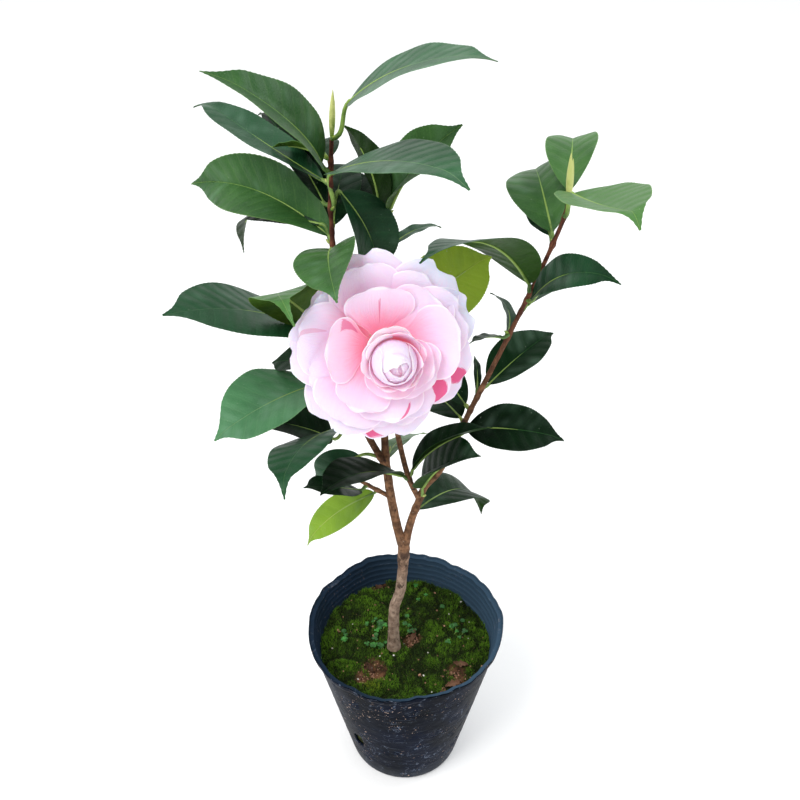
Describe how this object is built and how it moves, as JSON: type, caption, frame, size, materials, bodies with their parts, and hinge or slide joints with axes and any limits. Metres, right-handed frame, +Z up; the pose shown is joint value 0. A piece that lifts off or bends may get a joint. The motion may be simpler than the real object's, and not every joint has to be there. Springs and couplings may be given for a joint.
{
  "type": "potted camellia shrub",
  "caption": "Young camellia shrub in a soft plastic nursery pot, with three slender stems, glossy pointed leaves and one large double pink bloom.",
  "frame": {"origin": "centre of the pot's flat underside", "axes": "+Z up from the surface the pot stands on; the bloom faces -Y; +X is to the right of someone looking at the bloom"},
  "size_m": [0.2365, 0.1733, 0.5194],
  "materials": {
    "pot": "satin",
    "soil": "matte",
    "bark": "matte",
    "leaf": "satin",
    "bloom": "matte"
  },
  "bodies": {
    "root": {"pot": "pot", "soil": "soil", "trunk": "bark", "left_fork": "bark", "right_stem": "bark", "middle_stem": "bark", "left_stem": "bark", "left_twig": "bark", "bloom_twig": "bark", "bloom": "bloom", "left_top_leaves": "leaf", "left_upper_leaves": "leaf", "left_side_leaves": "leaf", "left_low_leaves": "leaf", "middle_top_leaves": "leaf", "middle_side_leaves": "leaf", "middle_low_leaves": "leaf", "twig_leaves": "leaf", "bloom_twig_leaves": "leaf", "right_foot_leaves": "leaf", "right_low_leaves": "leaf", "right_upper_leaves": "leaf", "right_top_leaves": "leaf"}
  },
  "joints": []
}
